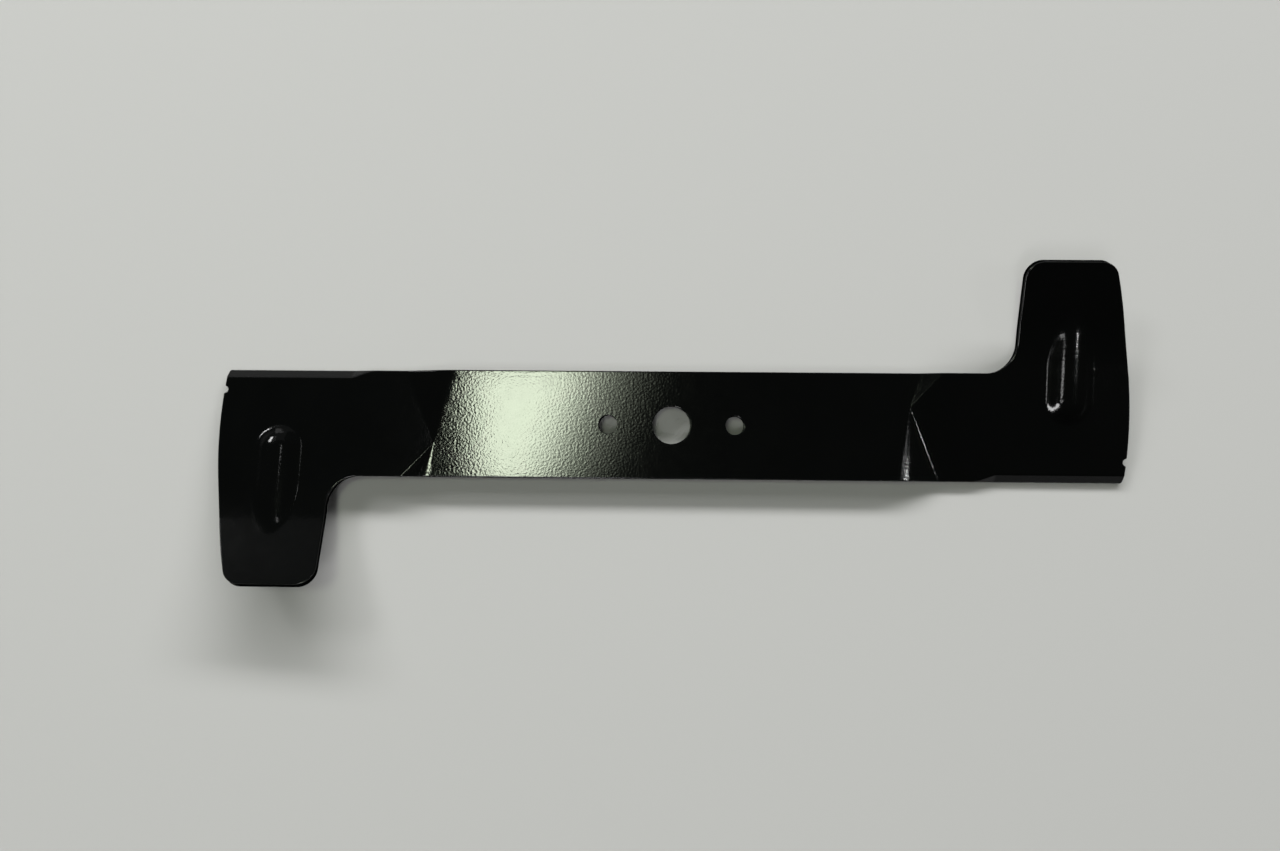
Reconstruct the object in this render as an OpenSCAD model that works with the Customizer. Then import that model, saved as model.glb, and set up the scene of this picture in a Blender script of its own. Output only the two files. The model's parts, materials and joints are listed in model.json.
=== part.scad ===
// Rotary mower blade, pressed from one steel bar.
// The bore's axis is Z and the blade lies along X. The upper face of the hub is at Z = 0.
// Each end is cranked down to its cutting edge and has a wing behind it that lifts air.
// The two ends are the same shape, half a turn apart.

/* [Bar] */
// Distance from the bore's axis to each end edge
tip_radius = 230; // [215:1:280]
// Width of the bar
bar_width = 54.5; // [50:0.5:58]
// Thickness of the steel, measured upright
thickness = 4; // [3:0.5:6]

/* [Hub] */
// Diameter of the centre bore
bore_d = 19; // [12:0.1:26]
// Diameter of each drive hole
drive_hole_d = 9.3; // [6:0.1:14]
// Distance between the two drive holes
drive_hole_spacing = 64; // [50:0.5:90]

/* [Crank] */
// Tilt of each end panel, cutting edge down
panel_tilt = 8.5; // [3:0.5:12]
// Length of the end panel along the cutting edge
panel_length = 93; // [85:1:105]
// Length of the crank along the cutting edge
crank_front = 28; // [19:1:34]
// Length of the crank along the trailing edge
crank_back = 14; // [8:1:20]
// Distance from the folds' meeting point to the crank's start, along the trailing edge
crank_back_start = 2; // [0:0.5:4]
// Length of the soft fold beside the hub, along the cutting edge
crank_inner_fold = 13; // [6:0.5:14]
// Length of the tight fold beside the panel, along the cutting edge
crank_outer_fold = 2.5; // [1:0.5:4]
// Distance from the end edge back to the point where the crank's folds meet
apex_setback = 110; // [100:1:120]
// Distance of that point behind the blade's centre line
apex_offset = 10; // [2:0.5:16]

/* [Wing] */
// Width of the wing along the blade
wing_width = 57.7; // [48:0.1:70]
// Reach of the wing behind the blade's centre line, along its upper face
wing_reach = 80; // [72:0.5:95]
// Start of the wing's bend behind the centre line
wing_bend_start = 30; // [29.5:0.5:40]
// Inner radius of the wing's bend
wing_bend_r = 100; // [60:1:120]
// Slope of the wing beyond its bend
wing_angle = 22; // [15:0.5:26]
// Radius of the wing's two corners
wing_corner_r = 9; // [4:0.5:14]
// Radius of the fillet between the wing and the bar
wing_fillet_r = 15; // [6:0.5:22]

/* [Rib] */
// Distance of the rib's round front end behind the centre line
rib_front = 2.6; // [0:0.1:6]
// Width of the rib
rib_width = 21; // [16:0.5:24]
// Height of the rib above the panel
rib_height = 2.8; // [2:0.1:4]
// Distance of the rib's middle from the end edge
rib_inset = 31; // [26:0.5:34]

/* [Cutting edge] */
// Width of the ground bevel
bevel_width = 4; // [2:0.1:8]
// Thickness left at the cutting edge
edge_land = 1.5; // [0.5:0.1:2.5]
// Length of the bevel from the end edge
bevel_length = 80; // [50:1:90]
// Length over which the bevel runs out
bevel_runout = 14; // [4:1:30]
// Radius of the half-round notch in the end edge
notch_r = 1.75; // [0.8:0.05:3]
// Distance of the notch from the cutting edge
notch_inset = 10.5; // [6:0.1:20]

/* [Hidden] */
$fn = 96;

// Overlap of cutters past the faces that they cut
over = 1;
// Flat strips in each of the crank's folds, and in the wing's bend
inner_fold_strips = 5;
outer_fold_strips = 4;
bend_strips = 12;

half_width = bar_width / 2;
far_x = tip_radius + over;
wing_x = tip_radius - wing_width;
crank_x = tip_radius - panel_length;
apex = [tip_radius - apex_setback, apex_offset];

// Shares of the crank's length that its folds take, and the places of the rays along it
inner_share = crank_inner_fold / crank_front;
outer_share = crank_outer_fold / crank_front;
crank_shares = concat(
    [for (i = [0 : inner_fold_strips]) inner_share * i / inner_fold_strips],
    [for (i = [0 : outer_fold_strips]) 1 - outer_share * (1 - i / outer_fold_strips)]
);
crank_strips = len(crank_shares) - 1;
// Slope of the flat between the folds, over the crank's mean slope
crank_rate = 1 / (1 - (inner_share + outer_share) / 2);

// Slope of the panel, and its thickness square to its face
slope = tan(panel_tilt);
sheet = thickness * cos(panel_tilt);

// Section of the wing across the blade, on its upper face: a bend, then a flat leaf
bend_centre = [
    wing_bend_start - wing_bend_r * sin(panel_tilt),
    panel_z(wing_bend_start) + wing_bend_r * cos(panel_tilt)
];
bend_end = bend_centre + wing_bend_r * heading(wing_angle - 90);
leaf_length = (wing_reach - bend_end[0]) / cos(wing_angle);
leaf_end = bend_end + leaf_length * heading(wing_angle);

// Rib: a round section along the panel, from its round front end until the rising wing covers it.
// Its runs are measured in the panel's plane from the start of the wing's bend.
rib_half = rib_width / 2;
rib_r = (rib_half^2 + rib_height^2) / (2 * rib_height);
rib_depth = rib_r - rib_height;
rib_run = (wing_bend_start - rib_front - rib_half) / cos(panel_tilt);
bend_turn = wing_angle - panel_tilt;
bend_rise = wing_bend_r * (1 - cos(bend_turn));
rib_cover = rib_height < bend_rise
    ? wing_bend_r * sin(acos(1 - rib_height / wing_bend_r))
    : wing_bend_r * sin(bend_turn) + (rib_height - bend_rise) / tan(bend_turn);

// Unit vector at an angle
function heading(a) = [cos(a), sin(a)];

// Height of the panel's upper face at y
function panel_z(y) = (y - apex_offset) * slope;

// Distance along the blade to the end edge at y
function end_x(y) = sqrt(tip_radius^2 - y^2);

// Share of the crank's drop at u along it: a soft fold, a flat and a tight fold
function crank_drop(u) =
    u < inner_share ? crank_rate * u^2 / (2 * inner_share)
    : u < 1 - outer_share ? crank_rate * (u - inner_share / 2)
    : 1 - crank_rate * (1 - u)^2 / (2 * outer_share);

// Edge of a crank fan at y, on the rays from the apex to x0 and x1 on the bar's edge
function fan_edge(x0, x1, edge_y, y) = [
    for (u = crank_shares)
        let (x = x0 + u * (x1 - x0))
        [apex[0] + (x - apex[0]) * (y - apex_offset) / (edge_y - apex_offset), y, crank_drop(u) * panel_z(y)]
];

// Rows of the wing's section at a depth under its upper face
function wing_rows(depth) = concat(
    [for (i = [0 : bend_strips])
        let (a = panel_tilt + i / bend_strips * (wing_angle - panel_tilt))
        bend_centre + (wing_bend_r + depth) * heading(a - 90)],
    [leaf_end + depth * heading(wing_angle - 90)]
);

// Points of one end at a depth under its upper face: its edge, counter-clockwise, then the apex
function end_points(drop, depth) =
    let (
        front_y = -half_width - over,
        wing_edge_x = wing_x - wing_fillet_r - over,
        rows = wing_rows(depth),
        front = fan_edge(crank_x - crank_front, crank_x, -half_width, front_y),
        back_x = apex[0] + crank_back_start,
        back = fan_edge(back_x, back_x + crank_back, half_width, wing_bend_start),
        corner = [far_x, front_y, panel_z(front_y)]
    )
    concat(
        [for (p = concat(front, [corner])) p - [0, 0, drop]],
        [for (r = rows) [far_x, r[0], r[1]]],
        [for (i = [len(rows) - 1 : -1 : 0]) [wing_edge_x, rows[i][0], rows[i][1]]],
        [for (i = [crank_strips : -1 : 0]) back[i] - [0, 0, drop]],
        [[apex[0], apex[1], -drop]]
    );

// Half a turn about the bore's axis
function turned(points) = [for (p = points) [-p[0], -p[1], p[2]]];

// The pressed sheet before it is cut to its outline: the hub, two cranks, two panels and two wings
module pressed_sheet() {
    last_row = bend_strips + 1;
    // Places of the points in one end's list
    corner = crank_strips + 1;
    function outer(j) = corner + 1 + j;
    function inner(j) = corner + 2 + 2 * last_row - j;
    function back(i) = inner(0) + 1 + crank_strips - i;
    tip = back(0) + 1;
    count = tip + 1;
    upper_end = end_points(0, 0);
    lower_end = end_points(thickness, sheet);
    end_faces = concat(
        [for (i = [0 : crank_strips - 1]) [tip, i + 1, i]],
        [for (i = [0 : crank_strips - 1]) [tip, back(i), back(i + 1)]],
        [for (j = [0 : last_row - 1]) [inner(j), inner(j + 1), outer(j + 1), outer(j)]],
        [[tip, back(crank_strips), inner(0), outer(0), corner, crank_strips]]
    );
    hub_face = [count + back(0), count + tip, count, back(0), tip, 0];
    upper_faces = concat([hub_face], end_faces, [for (f = end_faces) [for (i = f) i + count]]);
    lower_faces = [for (f = upper_faces) [for (i = [len(f) - 1 : -1 : 0]) f[i] + 2 * count]];
    edge = concat([for (i = [0 : tip - 1]) i], [for (i = [0 : tip - 1]) i + count]);
    walls = [
        for (i = [0 : len(edge) - 1])
            let (a = edge[i], b = edge[(i + 1) % len(edge)])
            each [[a, b, b + 2 * count], [a, b + 2 * count, a + 2 * count]]
    ];
    polyhedron(
        concat(upper_end, turned(upper_end), lower_end, turned(lower_end)),
        concat(upper_faces, lower_faces, walls)
    );
}

// Both ends, from one
module both_ends() for (turn = [0, 180]) rotate(turn) children();

// Plan of the whole blade, with the wings still square at their ends
module outline() intersection() {
    circle(tip_radius, $fn = 720);
    union() {
        square([2 * far_x, bar_width], center = true);
        both_ends() wing_plan();
    }
}

// Plan of a wing and the fillet at its root
module wing_plan() {
    translate([wing_x, 0]) square([wing_width + over, 2 * wing_reach]);
    difference() {
        translate([wing_x - wing_fillet_r, 0]) square([wing_fillet_r + over, half_width + wing_fillet_r]);
        translate([wing_x - wing_fillet_r, half_width + wing_fillet_r]) circle(wing_fillet_r);
    }
}

// Rib on the upper face, or the hollow beneath it, as a round bar with a round front end
module rib_form(r, floor_z) {
    back_run = rib_cover + over;
    translate([tip_radius - rib_inset, wing_bend_start, panel_z(wing_bend_start)])
        rotate([panel_tilt, 0, 0]) {
            translate([0, back_run]) rotate([90, 0, 0])
                linear_extrude(rib_run + back_run) rib_section(r, floor_z);
            translate([0, -rib_run]) rotate(180) rotate_extrude(angle = 180) intersection() {
                rib_section(r, floor_z);
                translate([0, -2 * r]) square([r, 4 * r]);
            }
        }
}

module rib_section(r, floor_z) intersection() {
    translate([0, -rib_depth]) circle(r);
    translate([-r, floor_z]) square([2 * r, 4 * r]);
}

// Cutter that grinds the bevel, square at the tip and run out at its inner end
module bevel_cut() {
    edge = [-half_width, panel_z(-half_width)];
    inner = [-half_width + bevel_width, panel_z(-half_width + bevel_width)];
    low = edge - [0, thickness - edge_land];
    out = inner + (low - inner) * (1 + over / bevel_width);
    section = [inner, out, [out[0], inner[1] + thickness], inner + [0, thickness]];
    run_off = (edge - inner) * (1 + over / bevel_width);
    start = tip_radius - bevel_length;
    loft([
        [for (p = section) [start, p[0] + run_off[0], p[1] + run_off[1]]],
        [for (p = section) [start + bevel_runout, p[0], p[1]]],
        [for (p = section) [far_x, p[0], p[1]]]
    ]);
}

// Solid through loops of points that follow each other along X
module loft(loops) {
    n = len(loops[0]);
    last = (len(loops) - 1) * n;
    polyhedron([for (loop = loops) each loop], concat(
        [[for (i = [n - 1 : -1 : 0]) i]],
        [[for (i = [0 : n - 1]) last + i]],
        [for (k = [0 : n : last - 1], i = [0 : n - 1])
            let (j = (i + 1) % n)
            [k + i, k + j, k + n + j, k + n + i]]
    ));
}

// Plan of the half-round notch in an end edge
module notch() {
    notch_y = notch_inset - half_width;
    translate([end_x(notch_y), notch_y]) circle(notch_r);
}

// Offcut outside a round corner, between two directions from its centre
module corner_offcut(from, to) difference() {
    reach = 2 * wing_corner_r;
    polygon([[0, 0], reach * heading(from), 2 * reach * heading((from + to) / 2), reach * heading(to)]);
    circle(wing_corner_r);
}

// Round corners of a wing, cut square to its leaf
module wing_corner_cuts() {
    // Lean of the end edge beside the outer corner, seen square to the leaf
    outer_y = leaf_end[0] - wing_corner_r * cos(wing_angle);
    lean = atan(outer_y / end_x(outer_y) * cos(wing_angle));
    touch_s = -wing_corner_r * (1 - sin(lean));
    touch_x = end_x(leaf_end[0] + touch_s * cos(wing_angle));
    translate([0, leaf_end[0], leaf_end[1]]) rotate([wing_angle, 0, 0])
        linear_extrude(4 * thickness, center = true) {
            translate([wing_x + wing_corner_r, -wing_corner_r]) corner_offcut(90, 180);
            translate([touch_x - wing_corner_r * cos(lean), -wing_corner_r]) corner_offcut(lean, 90);
        }
}

// Cuts that go right through the hub
module hub_holes() {
    cylinder(h = 4 * thickness, d = bore_d, center = true);
    for (side = [-1, 1]) translate([side * drive_hole_spacing / 2, 0, 0])
        cylinder(h = 4 * thickness, d = drive_hole_d, center = true);
}

module mower_blade() color("#161716") difference() {
    union() {
        intersection() {
            pressed_sheet();
            translate([0, 0, -tip_radius / 2]) linear_extrude(tip_radius) difference() {
                outline();
                both_ends() notch();
            }
        }
        both_ends() rib_form(rib_r, -over / 4);
    }
    both_ends() {
        rib_form(rib_r - sheet, -2 * thickness);
        bevel_cut();
        wing_corner_cuts();
    }
    hub_holes();
}

mower_blade();
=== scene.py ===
"""Looks of a rotary mower blade: one pressed steel bar under a gloss black coat, on a pale plain floor.

The blade is remade as one fine mesh on the solid's own form, with rounded rims and soft folds.
Lengths of the blade are in millimetres until the mesh is made. The scene is in metres.
"""

import json
import math

import bpy
import numpy as np
from mathutils import Matrix, Vector
from mathutils.geometry import delaunay_2d_cdt


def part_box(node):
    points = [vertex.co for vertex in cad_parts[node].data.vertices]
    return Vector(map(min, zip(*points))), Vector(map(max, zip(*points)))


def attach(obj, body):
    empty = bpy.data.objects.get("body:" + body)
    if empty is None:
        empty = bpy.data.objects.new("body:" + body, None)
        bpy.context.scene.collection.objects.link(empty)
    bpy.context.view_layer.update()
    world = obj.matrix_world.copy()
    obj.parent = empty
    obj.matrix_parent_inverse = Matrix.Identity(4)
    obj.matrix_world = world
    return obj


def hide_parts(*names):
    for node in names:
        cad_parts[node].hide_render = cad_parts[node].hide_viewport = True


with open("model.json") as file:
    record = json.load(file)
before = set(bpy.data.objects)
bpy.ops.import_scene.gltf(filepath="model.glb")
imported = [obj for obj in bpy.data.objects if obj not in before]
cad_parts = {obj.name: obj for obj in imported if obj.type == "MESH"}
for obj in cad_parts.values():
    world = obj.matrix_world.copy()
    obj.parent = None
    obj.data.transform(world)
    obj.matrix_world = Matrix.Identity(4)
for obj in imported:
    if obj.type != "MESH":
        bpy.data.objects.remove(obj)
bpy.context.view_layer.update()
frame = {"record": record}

NODE = "mower_blade"
MM = 0.001
low_corner, high_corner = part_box(NODE)
mounts = {mount["name"]: mount["dims"] for mount in frame["record"]["mounts"]}

# Bar and hub
TIP_R = high_corner.x / MM
HALF_WIDTH = 27.25
THICKNESS = mounts["centre_bore"]["length_mm"]
BORE_R = mounts["centre_bore"]["r_mm"]
HOLE_R = mounts["drive_holes"]["hole_r_mm"]
HOLE_X = mounts["drive_holes"]["spacing_x_mm"] / 2

# Crank: folds that meet at an apex
PANEL_TILT = math.radians(8.5)
PANEL_LENGTH = 93
SLOPE = math.tan(PANEL_TILT)
SHEET = THICKNESS * math.cos(PANEL_TILT)
CRANK_X = TIP_R - PANEL_LENGTH
CRANK_FRONT = 28
CRANK_BACK = 14
CRANK_BACK_START = 2
INNER_FOLD = 13
FRONT_OUTER_FOLD = 2.5
BACK_OUTER_FOLD = 0.3
INNER_SHARE = INNER_FOLD / CRANK_FRONT
FRONT_OUTER_SHARE = FRONT_OUTER_FOLD / CRANK_FRONT
BACK_OUTER_SHARE = BACK_OUTER_FOLD / CRANK_BACK
APEX_INSET = 110
APEX_X = TIP_R - APEX_INSET
APEX_Y = 10
NEAR_APEX = 1e-6

# Wing: a bend, then a flat leaf
WING_WIDTH = 57.7
WING_X = TIP_R - WING_WIDTH
WING_Y = 80
WING_ANGLE = math.radians(22)
WING_CORNER_R = 9
WING_FILLET_R = 15
BEND_START = 30
BEND_R = 100

# Rib across the bend
RIB_FRONT = 2.6
RIB_HALF = 10.5
RIB_HEIGHT = 2.8
RIB_INSET = 31
RIB_X = TIP_R - RIB_INSET
RIB_RUN = (BEND_START - RIB_FRONT - RIB_HALF) / math.cos(PANEL_TILT)
RIB_R = (RIB_HALF**2 + RIB_HEIGHT**2) / (2 * RIB_HEIGHT)
RIB_DEPTH = RIB_R - RIB_HEIGHT
RIB_BLEND = 1.3
RIB_PASSES = 3

# Cutting edge and its notch
BEVEL_WIDTH = 4
BEVEL_LENGTH = 80
BEVEL_START = TIP_R - BEVEL_LENGTH
BEVEL_RUNOUT = 14
BEVEL_PAST = 1
EDGE_LAND = 1.5
BEVEL_SLOPE = SLOPE + (THICKNESS - EDGE_LAND) / BEVEL_WIDTH
BEVEL_BLEND = 0.35
NOTCH_R = 1.75
NOTCH_RISE = 10.5
NOTCH_Y = NOTCH_RISE - HALF_WIDTH

# Rims
EDGE_R = 0.65
CUT_EDGE_R = 0.35
HOLE_EDGE_R = 0.4
TIP_CORNER_R = 1.0
NOTCH_CORNER_R = 0.8
RIM_STEPS = 4
RIM_SPACING = 0.8
ARC_MIN_POINTS = 4

# Fineness of the faces: the widest and narrowest cells, and the slope that may change across one
CELL_MAX = 4.0
CELL_SPLITS = 4
CELL_SLOPE = 0.04
SLOPE_STEP = 0.05
WELD = 1e-6

# Coat: its tones and gloss, and the rim value at which it starts to dull
COAT_DARK = (0.0008, 0.0010, 0.0009, 1)
COAT_LIGHT = (0.0014, 0.0016, 0.0015, 1)
COAT_ROUGHNESS = (0.065, 0.09)
COAT_SPECULAR = 0.5
DULL_START = 0.5
NOISE_SPAN = (0.3, 0.7)

# Coat, in metres: the widths of its lumps, and the depth of its orange peel
BLOTCH = 0.03
HAZE = 0.006
PEEL = 0.0012
PEEL_DEPTH = 0.00003

# Studio, in metres
FLOOR_COLOUR = (0.43, 0.43, 0.42, 1)
FLOOR_ROUGHNESS = 0.8
FLOOR_REACH = 1.5
CEILING = 2.0
HUB = (0, 0, 0)
LEFT_END = (-0.2, 0, 0)
RIGHT_END = (0.2, 0, 0)


def heading(angle):
    return np.array([math.cos(angle), math.sin(angle)])


def unit(vectors):
    return vectors / np.linalg.norm(vectors, axis=1)[:, None]


def smooth_step(value, start, end):
    share = np.clip((value - start) / (end - start), 0, 1)
    return share * share * (3 - 2 * share)


def smooth_max(a, b, blend):
    overlap = np.maximum(blend - np.abs(a - b), 0) / blend
    return np.maximum(a, b) + overlap**2 * blend / 4


def end_x(y):
    return np.sqrt(TIP_R**2 - np.square(y))


def panel_z(y):
    return (y - APEX_Y) * SLOPE


BEND_CENTRE = np.array([
    BEND_START - BEND_R * math.sin(PANEL_TILT),
    panel_z(BEND_START) + BEND_R * math.cos(PANEL_TILT),
])


def section_z(y, depth):
    """Height of the panel, bend and leaf at y, at a depth square to their upper face."""
    radius = BEND_R + depth
    start_y = (BEND_CENTRE + radius * heading(PANEL_TILT - math.pi / 2))[0]
    leaf = BEND_CENTRE + radius * heading(WING_ANGLE - math.pi / 2)
    bend_z = BEND_CENTRE[1] - np.sqrt(np.maximum(radius**2 - (y - BEND_CENTRE[0])**2, 0))
    leaf_z = leaf[1] + (y - leaf[0]) * math.tan(WING_ANGLE)
    flat_z = panel_z(y) - depth / math.cos(PANEL_TILT)
    return np.where(y < start_y, flat_z, np.where(y < leaf[0], bend_z, leaf_z))


def crank_drop(u, outer_share):
    """Share of the crank's drop at u along it: a soft fold, a flat and a tight fold."""
    rate = 1 / (1 - (INNER_SHARE + outer_share) / 2)
    soft = rate * u**2 / (2 * INNER_SHARE)
    flat = rate * (u - INNER_SHARE / 2)
    tight = 1 - rate * (1 - u)**2 / (2 * outer_share)
    return np.where(u < INNER_SHARE, soft, np.where(u < 1 - outer_share, flat, tight))


def crank_share(x, y):
    """0 on the hub and 1 on the panel, along rays from the apex."""
    front = y < APEX_Y
    edge_y = np.where(front, -HALF_WIDTH, HALF_WIDTH)
    start_x = np.where(front, CRANK_X - CRANK_FRONT, APEX_X + CRANK_BACK_START)
    length = np.where(front, CRANK_FRONT, CRANK_BACK)
    outer_share = np.where(front, FRONT_OUTER_SHARE, BACK_OUTER_SHARE)
    from_apex = np.minimum(y, BEND_START) - APEX_Y
    from_apex = np.where(np.abs(from_apex) < NEAR_APEX, NEAR_APEX, from_apex)
    edge_x = APEX_X + (x - APEX_X) * (edge_y - APEX_Y) / from_apex
    return crank_drop(np.clip((edge_x - start_x) / length, 0, 1), outer_share)


def rib_z(x, y, radius):
    """Height of a round bar along the panel, with a round front end. The wing covers its back end."""
    height = np.zeros_like(x)
    for _ in range(RIB_PASSES):
        along = (y - BEND_START + height * math.sin(PANEL_TILT)) / math.cos(PANEL_TILT)
        past_end = np.maximum(-RIB_RUN - along, 0)
        height = np.sqrt(np.maximum(radius**2 - (x - RIB_X)**2 - past_end**2, 0)) - RIB_DEPTH
    return panel_z(BEND_START) + along * math.sin(PANEL_TILT) + height * math.cos(PANEL_TILT)


def bevel_z(x, y):
    run = np.clip((x - BEVEL_START) / BEVEL_RUNOUT, 0, 1)
    inner_y = BEVEL_WIDTH - HALF_WIDTH - (1 - run) * (BEVEL_WIDTH + BEVEL_PAST)
    ground_z = panel_z(inner_y) + (y - inner_y) * BEVEL_SLOPE
    return np.where(x < BEVEL_START, np.inf, ground_z)


def end_upper_z(x, y):
    face = crank_share(x, y) * section_z(y, 0)
    face = smooth_max(face, rib_z(x, y, RIB_R), RIB_BLEND)
    return -smooth_max(-face, -bevel_z(x, y), BEVEL_BLEND)


def end_lower_z(x, y):
    hub = crank_share(x, y) * panel_z(y) - THICKNESS
    face = np.where(y < BEND_START, hub, section_z(y, SHEET))
    return smooth_max(face, rib_z(x, y, RIB_R - SHEET), RIB_BLEND)


def both_ends(end_surface, x, y):
    """A surface of one end, and of the other by half a turn."""
    side = np.where(x < 0, -1.0, 1.0)
    return end_surface(side * x, side * y)


def upper_z(x, y):
    return both_ends(end_upper_z, x, y)


def lower_z(x, y):
    return both_ends(end_lower_z, x, y)


def face_normals(surface, points):
    """Unit normals of a face at places in plan, on its upper side."""
    x, y = points.T
    slope_x = (surface(x + SLOPE_STEP, y) - surface(x - SLOPE_STEP, y)) / (2 * SLOPE_STEP)
    slope_y = (surface(x, y + SLOPE_STEP) - surface(x, y - SLOPE_STEP)) / (2 * SLOPE_STEP)
    return unit(np.column_stack([-slope_x, -slope_y, np.ones_like(x)]))


def lower_plan(points):
    """Places on the lower face under places on the upper one: the wing's end is square to its leaf."""
    x, y = points.T
    side = np.where(x < 0, -1.0, 1.0)
    x, y = side * x, side * y
    root_y = HALF_WIDTH + WING_FILLET_R
    corner_y = WING_Y - WING_CORNER_R
    low_y = y + SHEET * math.sin(WING_ANGLE) * smooth_step(y, root_y, corner_y)
    low_x = WING_X + (x - WING_X) * (end_x(low_y) - WING_X) / (end_x(y) - WING_X)
    low_x = np.where(y < root_y, x, low_x)
    return np.column_stack([side * low_x, side * low_y])


def line(start, end, spacing):
    """Points along a straight stretch, without its last one."""
    count = max(1, math.ceil(math.dist(start, end) / spacing))
    shares = np.arange(count)[:, None] / count
    return np.array(start) + shares * (np.array(end) - np.array(start))


def arc(centre, radius, start, end, spacing, flatten=1.0):
    """Points along an arc, without its last one. A flattened arc is shorter along Y."""
    count = max(ARC_MIN_POINTS, math.ceil(abs(end - start) * radius / spacing))
    angles = start + np.arange(count) / count * (end - start)
    return np.column_stack([
        centre[0] + radius * np.cos(angles),
        centre[1] + radius * flatten * np.sin(angles),
    ])


def notched_arc(start, end):
    """The end edge between two angles, with its half-round notch and the notch's small corners."""
    middle = math.asin(NOTCH_Y / TIP_R)
    notch_centre = TIP_R * heading(middle)
    corner_ring = TIP_R - NOTCH_CORNER_R
    reach = NOTCH_R + NOTCH_CORNER_R
    half_gap = 2 * math.asin(math.sqrt((reach**2 - NOTCH_CORNER_R**2) / (4 * TIP_R * corner_ring)))
    fine = RIM_SPACING / 4
    corners = [corner_ring * heading(middle + sign * half_gap) for sign in (-1, 1)]
    to_notch = [math.atan2(*(notch_centre - corner)[::-1]) for corner in corners]
    from_notch = [math.atan2(*(corner - notch_centre)[::-1]) for corner in corners]
    return np.vstack([
        arc((0, 0), TIP_R, start, middle - half_gap, RIM_SPACING),
        arc(corners[0], NOTCH_CORNER_R, middle - half_gap, to_notch[0], fine),
        arc(notch_centre, NOTCH_R, from_notch[0] + 2 * math.pi, from_notch[1], fine),
        arc(corners[1], NOTCH_CORNER_R, to_notch[1], middle + half_gap, fine),
        arc((0, 0), TIP_R, middle + half_gap, end, RIM_SPACING),
    ])


def half_outline():
    """Counter-clockwise plan of one end, from the other wing's root to this wing's root."""
    quarter = math.pi / 2
    fine = RIM_SPACING / 2
    leaf_scale = math.cos(WING_ANGLE)
    root = np.array([WING_X - WING_FILLET_R, HALF_WIDTH])
    tip_y = TIP_CORNER_R - HALF_WIDTH
    tip_x = math.sqrt((TIP_R - TIP_CORNER_R)**2 - tip_y**2)
    corner_y = WING_Y - WING_CORNER_R * leaf_scale
    lean = math.atan(corner_y / end_x(corner_y) * leaf_scale)
    touch_y = corner_y + WING_CORNER_R * math.sin(lean) * leaf_scale
    outer_x = end_x(touch_y) - WING_CORNER_R * math.cos(lean)
    inner_x = WING_X + WING_CORNER_R
    return np.vstack([
        line(-root, (tip_x, -HALF_WIDTH), RIM_SPACING),
        arc((tip_x, tip_y), TIP_CORNER_R, -quarter, math.atan2(tip_y, tip_x), fine / 2),
        notched_arc(math.atan2(tip_y, tip_x), math.asin(touch_y / TIP_R)),
        arc((outer_x, corner_y), WING_CORNER_R, lean, quarter, fine, leaf_scale),
        line((outer_x, WING_Y), (inner_x, WING_Y), RIM_SPACING),
        arc((inner_x, corner_y), WING_CORNER_R, quarter, 2 * quarter, fine, leaf_scale),
        line((WING_X, corner_y), (WING_X, HALF_WIDTH + WING_FILLET_R), RIM_SPACING),
        arc((root[0], root[1] + WING_FILLET_R), WING_FILLET_R, 0, -quarter, fine),
    ])


def outward(loop):
    """Unit vectors out of the steel along a closed loop that has the steel on its left."""
    along = unit(np.roll(loop, -1, axis=0) - np.roll(loop, 1, axis=0))
    return np.column_stack([along[:, 1], -along[:, 0]])


def outline_edge_radius(loop):
    """Rounding of the rim: less along the ground edge, where little steel is left."""
    side = np.where(loop[:, 0] < 0, -1, 1)
    x, y = (side[:, None] * loop).T
    ground = smooth_step(x, BEVEL_START, BEVEL_START + BEVEL_RUNOUT) * (y < BEVEL_WIDTH - HALF_WIDTH)
    return EDGE_R + (CUT_EDGE_R - EDGE_R) * ground


def inside(points, loop):
    """Which points a closed loop holds, by counting the sides that lie to their left."""
    held = np.zeros(len(points), bool)
    for (x0, y0), (x1, y1) in zip(loop, np.roll(loop, -1, axis=0)):
        if y0 != y1:
            across = (points[:, 1] < y0) != (points[:, 1] < y1)
            held ^= across & (points[:, 0] < x0 + (points[:, 1] - y0) * (x1 - x0) / (y1 - y0))
    return held


def in_steel(points, rim_loops):
    """Which points lie inside the outline and outside the holes."""
    held = inside(points, rim_loops[0])
    for hole in rim_loops[1:]:
        held &= ~inside(points, hole)
    return held


def slope_change(x, y, cell):
    """Largest change of either face's slope across a cell."""
    change = np.zeros_like(x)
    for surface in (upper_z, lower_z):
        middle = 2 * surface(x, y)
        for step in ((cell / 2, 0), (0, cell / 2), (cell / 2, cell / 2), (cell / 2, -cell / 2)):
            there = surface(x + step[0], y + step[1]) + surface(x - step[0], y - step[1])
            change = np.maximum(change, np.abs(there - middle) / (cell / 2))
    return change


def face_points(rim_loops):
    """Points inside the rims, closer together where the faces curve."""
    reach_y = WING_Y + CELL_MAX
    columns = np.arange(-TIP_R, TIP_R + CELL_MAX, CELL_MAX) + CELL_MAX / 2
    rows = np.arange(-reach_y, reach_y, CELL_MAX) + CELL_MAX / 2
    cells = np.stack(np.meshgrid(columns, rows), axis=-1).reshape(-1, 2)
    rim = np.vstack(rim_loops)
    kept = []
    for level in range(CELL_SPLITS + 1):
        size = CELL_MAX / 2**level
        near = np.abs(cells[:, 0]) < TIP_R + size
        cells = cells[near]
        curved = slope_change(cells[:, 0], cells[:, 1], size) > CELL_SLOPE
        flat = cells if level == CELL_SPLITS else cells[~curved]
        flat = flat[in_steel(flat, rim_loops)]
        gap = np.array([np.min(np.sum((rim - point)**2, axis=1)) for point in flat])
        kept.append(flat[gap > (size / 2)**2])
        quarters = [(size / 4 * i, size / 4 * j) for i in (-1, 1) for j in (-1, 1)]
        cells = np.vstack([cells[curved] + quarter for quarter in quarters])
    return np.vstack(kept)


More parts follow.
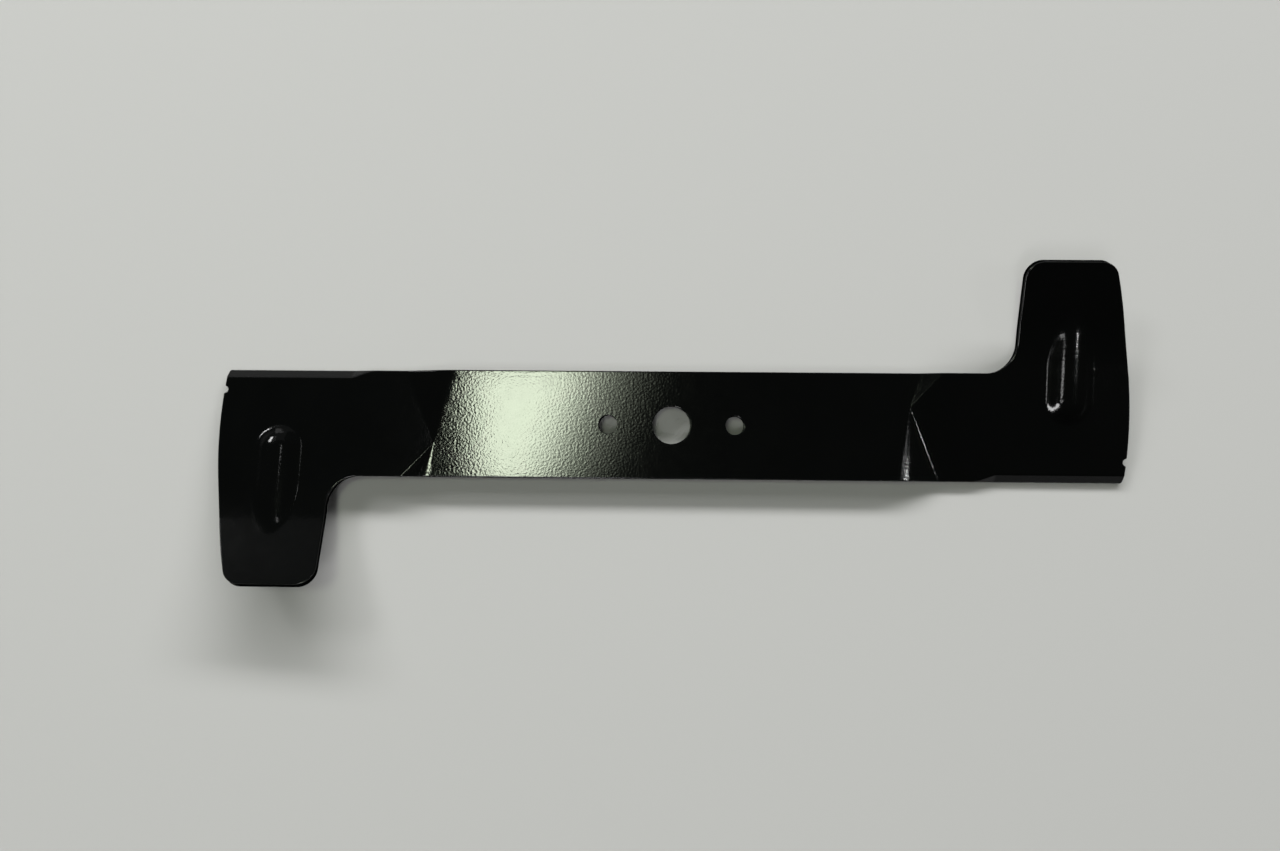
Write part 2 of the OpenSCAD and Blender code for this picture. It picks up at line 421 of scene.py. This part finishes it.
def fill(rim_loops, points):
    """Triangles between the rim loops, through the points."""
    plan = np.vstack(rim_loops + [points])
    sides = []
    first = 0
    for loop in rim_loops:
        indices = np.arange(first, first + len(loop))
        sides += list(zip(indices.tolist(), np.roll(indices, -1).tolist()))
        first += len(loop)
    inside_only = 1
    found = delaunay_2d_cdt([Vector(point) for point in plan], sides, [], inside_only, WELD, True)
    _, _, corners, sources, _, _ = found
    triangles = np.array([ids[0] for ids in sources])[np.array(corners)]
    return plan, triangles[in_steel(plan[triangles].mean(axis=1), rim_loops)]


def circle_loop(centre_x, radius):
    """A hole's rim, clockwise, so that the steel is on its left."""
    return arc((centre_x, 0), radius, math.pi, -math.pi, RIM_SPACING / 2)


def rim_rings(loop, radius, side):
    """Places, normals and rim values along a rounded rim, ring by ring from the upper face down."""
    wall_normal = np.column_stack([side, np.zeros(len(loop))])
    steps = range(1, RIM_STEPS + 1)
    for is_upper, step in [(True, k) for k in steps] + [(False, k) for k in reversed(steps)]:
        turn = step / RIM_STEPS * math.pi / 2
        place = loop - (radius * (1 - math.sin(turn)))[:, None] * side
        drop = radius * (1 - math.cos(turn))
        if is_upper:
            height = upper_z(*place.T) - drop
            face_normal = face_normals(upper_z, place)
        else:
            place = lower_plan(place)
            height = lower_z(*place.T) + drop
            face_normal = -face_normals(lower_z, place)
        normal = unit(math.cos(turn) * face_normal + math.sin(turn) * wall_normal)
        yield np.column_stack([place, height]), normal, np.full(len(loop), step / RIM_STEPS)


def build_blade():
    """The whole blade as one closed mesh. A vertex's rim value is 1 on the rims and 0 on the faces."""
    half = half_outline()
    outline = np.vstack([half, -half])
    loops = [outline, circle_loop(0, BORE_R), circle_loop(-HOLE_X, HOLE_R), circle_loop(HOLE_X, HOLE_R)]
    radii = [outline_edge_radius(outline)] + [np.full(len(loop), HOLE_EDGE_R) for loop in loops[1:]]
    sides = [outward(loop) for loop in loops]
    inner_loops = [loop - r[:, None] * side for loop, r, side in zip(loops, radii, sides)]
    plan, triangles = fill(inner_loops, face_points(inner_loops))
    count = len(plan)

    low_plan = lower_plan(plan)
    vertices = [
        np.column_stack([plan, upper_z(*plan.T)]),
        np.column_stack([low_plan, lower_z(*low_plan.T)]),
    ]
    normals = [face_normals(upper_z, plan), -face_normals(lower_z, low_plan)]
    faces = triangles.tolist() + (triangles[:, ::-1] + count).tolist()
    rim_values = [np.zeros(2 * count)]
    total = 2 * count
    first = 0
    for loop, radius, side in zip(loops, radii, sides):
        n = len(loop)
        rings = [np.arange(first, first + n)]
        for places, ring_normals, ring_values in rim_rings(loop, radius, side):
            vertices.append(places)
            normals.append(ring_normals)
            rim_values.append(ring_values)
            rings.append(np.arange(total, total + n))
            total += n
        rings.append(np.arange(first, first + n) + count)
        for upper, lower in zip(rings, rings[1:]):
            quads = np.column_stack([upper, lower, np.roll(lower, -1), np.roll(upper, -1)])
            faces += quads.tolist()
        first += n

    mesh = bpy.data.meshes.new("blade")
    mesh.from_pydata((np.vstack(vertices) * MM).tolist(), [], faces)
    mesh.shade_smooth()
    mesh.normals_split_custom_set_from_vertices(np.vstack(normals).tolist())
    rim = mesh.attributes.new("rim", "FLOAT", "POINT")
    rim.data.foreach_set("value", np.concatenate(rim_values).astype(np.float32))
    blade = bpy.data.objects.new("blade", mesh)
    bpy.context.scene.collection.objects.link(blade)
    return blade


def new_material(name):
    material = bpy.data.materials.new(name)
    material.use_nodes = True
    return material, material.node_tree.nodes, material.node_tree.links


def noise(nodes, links, place, feature, detail=2.0):
    """Noise whose lumps are about one feature wide, in metres."""
    node = nodes.new("ShaderNodeTexNoise")
    node.inputs["Scale"].default_value = 1 / feature
    node.inputs["Detail"].default_value = detail
    links.new(place, node.inputs["Vector"])
    return node.outputs["Fac"]


def remap(nodes, links, value, from_range, to_range):
    node = nodes.new("ShaderNodeMapRange")
    for name, number in zip(("From Min", "From Max", "To Min", "To Max"), (*from_range, *to_range)):
        node.inputs[name].default_value = number
    links.new(value, node.inputs["Value"])
    return node.outputs["Result"]


def coat_material():
    """Gloss black powder coat with fine orange peel, duller on the cut walls."""
    material, nodes, links = new_material("black_coat")
    shader = nodes["Principled BSDF"]
    place = nodes.new("ShaderNodeTexCoord").outputs["Object"]

    tone = nodes.new("ShaderNodeMix")
    tone.data_type = "RGBA"
    tone.inputs["A"].default_value = COAT_DARK
    tone.inputs["B"].default_value = COAT_LIGHT
    links.new(noise(nodes, links, place, BLOTCH), tone.inputs["Factor"])
    links.new(tone.outputs["Result"], shader.inputs["Base Color"])

    haze = noise(nodes, links, place, HAZE, 4)
    links.new(remap(nodes, links, haze, NOISE_SPAN, COAT_ROUGHNESS), shader.inputs["Roughness"])

    rim = nodes.new("ShaderNodeAttribute")
    rim.attribute_name = "rim"
    dull = remap(nodes, links, rim.outputs["Fac"], (DULL_START, 1), (COAT_SPECULAR, 0))
    links.new(dull, shader.inputs["Specular IOR Level"])

    peel = nodes.new("ShaderNodeBump")
    peel.inputs["Distance"].default_value = PEEL_DEPTH
    links.new(noise(nodes, links, place, PEEL, 1), peel.inputs["Height"])
    links.new(peel.outputs["Normal"], shader.inputs["Normal"])
    return material


def floor_material():
    material, nodes, _ = new_material("pale_floor")
    shader = nodes["Principled BSDF"]
    shader.inputs["Base Color"].default_value = FLOOR_COLOUR
    shader.inputs["Roughness"].default_value = FLOOR_ROUGHNESS
    return material


def add_floor():
    mesh = bpy.data.meshes.new("floor")
    corners = FLOOR_REACH * np.array([(-1, -1, 0), (1, -1, 0), (1, 1, 0), (-1, 1, 0)])
    mesh.from_pydata(corners.tolist(), [], [(0, 1, 2, 3)])
    floor = bpy.data.objects.new("floor", mesh)
    floor.location.z = low_corner.z
    bpy.context.scene.collection.objects.link(floor)
    mesh.materials.append(floor_material())


def add_lamp(name, place, size, radiance, target=None, turn=0):
    """A soft rectangular lamp that faces a target, or else straight down.

    The turn about its own axis is in degrees.
    """
    data = bpy.data.lights.new(name, "AREA")
    data.shape = "RECTANGLE"
    data.size, data.size_y = size
    data.energy = radiance * math.pi * size[0] * size[1]
    lamp = bpy.data.objects.new(name, data)
    lamp.location = place
    target = target or (place[0], place[1], 0)
    facing = (Vector(target) - Vector(place)).to_track_quat("-Z", "Y").to_matrix()
    lamp.rotation_euler = (facing @ Matrix.Rotation(math.radians(turn), 3, "Z")).to_euler()
    bpy.context.scene.collection.objects.link(lamp)
    return lamp


def fade_sides(lamp, lean, levels):
    """Sets a lamp's level at shares of its width. The shares lean with its height."""
    lamp.data.use_nodes = True
    nodes, links = lamp.data.node_tree.nodes, lamp.data.node_tree.links
    across = nodes.new("ShaderNodeVectorMath")
    across.operation = "DOT_PRODUCT"
    across.inputs[1].default_value = (1, -lean, 0)
    links.new(nodes.new("ShaderNodeNewGeometry").outputs["Parametric"], across.inputs[0])
    ramp = nodes.new("ShaderNodeValToRGB")
    stops = ramp.color_ramp.elements
    for share, _ in levels[1:-1]:
        stops.new(share)
    for stop, (share, level) in zip(stops, levels):
        stop.position = share
        stop.color = (level, level, level, 1)
    links.new(across.outputs["Value"], ramp.inputs["Fac"])
    links.new(ramp.outputs["Color"], nodes["Emission"].inputs["Strength"])


def add_lights():
    """An overhead panel seen in the hub, a key lamp for the shadow, and lamps for single highlights."""
    overhead = add_lamp("overhead", (-0.231, 0.145, CEILING), (0.48, 0.34), 21.5, turn=5)
    overhead.data.color = (0.89, 1, 0.77)
    fade_sides(overhead, 0.34, ((0.205, 1), (0.32, 0.5), (0.415, 0.2), (0.53, 0.08), (0.7, 0)))
    key = add_lamp("key", (0.4, 4.4, 2.6), (9, 0.72), 29.5, HUB)
    key.visible_glossy = False

    # Seen in the left leaf, then in the left bevel
    add_lamp("wall", (-1.2, 2.4, CEILING), (1.8, 1.9), 0.06)
    add_lamp("edge_strip", (-0.2, 2.6, 1.2), (3.0, 0.5), 0.6, LEFT_END)

    # Seen in the right crank's folds
    add_lamp("side", (1.53, -0.178, CEILING), (0.26, 0.036), 75)
    add_lamp("side_strip", (1.28, -0.045, CEILING), (0.14, 0.06), 4)

    # Seen in the right rib's front end, then along its sides
    add_lamp("front", (-0.33, -0.88, CEILING), (0.3, 0.7), 12, RIGHT_END)
    add_lamp("front_strip", (0.12, -0.34, CEILING), (0.2, 0.08), 6, turn=24)

    # Seen in the left rib's front end, then along its sides
    add_lamp("back", (-2.1, 1.95, CEILING), (0.95, 0.95), 15)
    add_lamp("back_strip", (-0.47, 0.74, CEILING), (0.08, 0.2), 3, LEFT_END)


def add_world():
    """Pale at the horizon and dark overhead."""
    world = bpy.data.worlds.new("studio")
    world.use_nodes = True
    nodes, links = world.node_tree.nodes, world.node_tree.links
    place = nodes.new("ShaderNodeTexCoord").outputs["Generated"]
    split = nodes.new("ShaderNodeSeparateXYZ")
    links.new(place, split.inputs["Vector"])
    fade_top, pale, dark = 0.4, 0.5, 0.02
    level = remap(nodes, links, split.outputs["Z"], (0, fade_top), (pale, dark))
    links.new(level, nodes["Background"].inputs["Strength"])
    nodes["Background"].inputs["Color"].default_value = (1, 1, 1, 1)
    bpy.context.scene.world = world


def add_camera():
    """The photograph's view, fitted to the hub's edges and holes."""
    image_width = 1280
    focal_px = 1000
    data = bpy.data.cameras.new("camera")
    data.sensor_width = 36
    data.lens = focal_px / image_width * data.sensor_width
    camera = bpy.data.objects.new("camera", data)
    tilt, roll, turn = (math.radians(angle) for angle in (-3.75, -0.92, -0.55))
    to_camera = Matrix.Rotation(tilt, 3, "X") @ Matrix.Rotation(roll, 3, "Y")
    to_camera = to_camera @ Matrix.Rotation(turn, 3, "Z")
    place = Vector((-0.0074, -0.0333, 0.513 + low_corner.z))
    camera.matrix_world = Matrix.Translation(place) @ to_camera.transposed().to_4x4()
    bpy.context.scene.collection.objects.link(camera)
    bpy.context.scene.camera = camera


add_camera()
add_floor()
add_lights()
add_world()
blade = build_blade()
blade.data.materials.append(coat_material())
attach(blade, "root")
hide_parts(NODE)

bpy.context.scene.view_settings.view_transform = "Standard"
